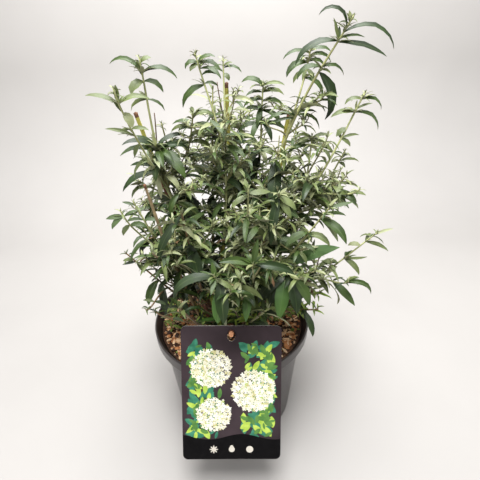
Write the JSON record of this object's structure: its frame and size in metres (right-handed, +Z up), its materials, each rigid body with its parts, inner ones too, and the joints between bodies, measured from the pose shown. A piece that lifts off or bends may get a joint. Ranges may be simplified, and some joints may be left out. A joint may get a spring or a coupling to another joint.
{
  "type": "potted butterfly bush",
  "caption": "Young butterfly bush in a round black nursery pot: forked woody stock, many leafy arching shoots with narrow drooping leaves, bark-chip medium and a hanging plant card.",
  "frame": {"origin": "middle of the pot's flat underside, on the ground", "axes": "+Z up along the pot's axis, -Y towards the front where the card hangs, +X to the right in the picture"},
  "size_m": [0.2819, 0.2605, 0.4407],
  "materials": {
    "pot_plastic": "thin black moulded plastic, half gloss, dusty",
    "bark_medium": "loose orange-brown bark chips and dark compost",
    "card_plastic": "thin printed plastic card, half gloss",
    "old_bark": "brown ridged bark",
    "young_bark": "smooth yellow-green to red-brown young bark",
    "leaves": "soft grey-green leaves, silvery underneath"
  },
  "bodies": {
    "root": {"pot": "pot_plastic", "growing_medium": "bark_medium", "card": "card_plastic", "stock": "old_bark", "card_stem": "young_bark", "leader_bough": "young_bark", "centre_bough": "young_bark", "back_top_bough": "young_bark", "left_centre_bough": "young_bark", "far_left_bough": "young_bark", "right_top_bough": "young_bark", "left_upper_bough": "young_bark", "left_mid_bough": "young_bark", "left_low_bough": "young_bark", "right_mid_bough": "young_bark", "right_front_bough": "young_bark", "right_low_bough": "young_bark", "low_front_left_bough": "young_bark", "low_front_right_bough": "young_bark", "rim_right_bough": "young_bark", "front_top_bough": "young_bark", "front_low_bough": "young_bark", "left_front_bough": "young_bark", "back_left_bough": "young_bark", "back_right_bough": "young_bark", "back_low_left_bough": "young_bark", "back_low_right_bough": "young_bark", "leader_foliage": "leaves", "centre_foliage": "leaves", "back_top_foliage": "leaves", "left_centre_foliage": "leaves", "far_left_foliage": "leaves", "right_top_foliage": "leaves", "left_upper_foliage": "leaves", "left_mid_foliage": "leaves", "left_low_foliage": "leaves", "right_mid_foliage": "leaves", "right_front_foliage": "leaves", "right_low_foliage": "leaves", "low_front_left_foliage": "leaves", "low_front_right_foliage": "leaves", "rim_right_foliage": "leaves", "front_top_foliage": "leaves", "front_low_foliage": "leaves", "left_front_foliage": "leaves", "back_left_foliage": "leaves", "back_right_foliage": "leaves", "back_low_left_foliage": "leaves", "back_low_right_foliage": "leaves", "pruned_back_left": "young_bark", "pruned_back_right": "young_bark", "pruned_left": "young_bark", "pruned_low_left": "young_bark"}
  },
  "joints": []
}
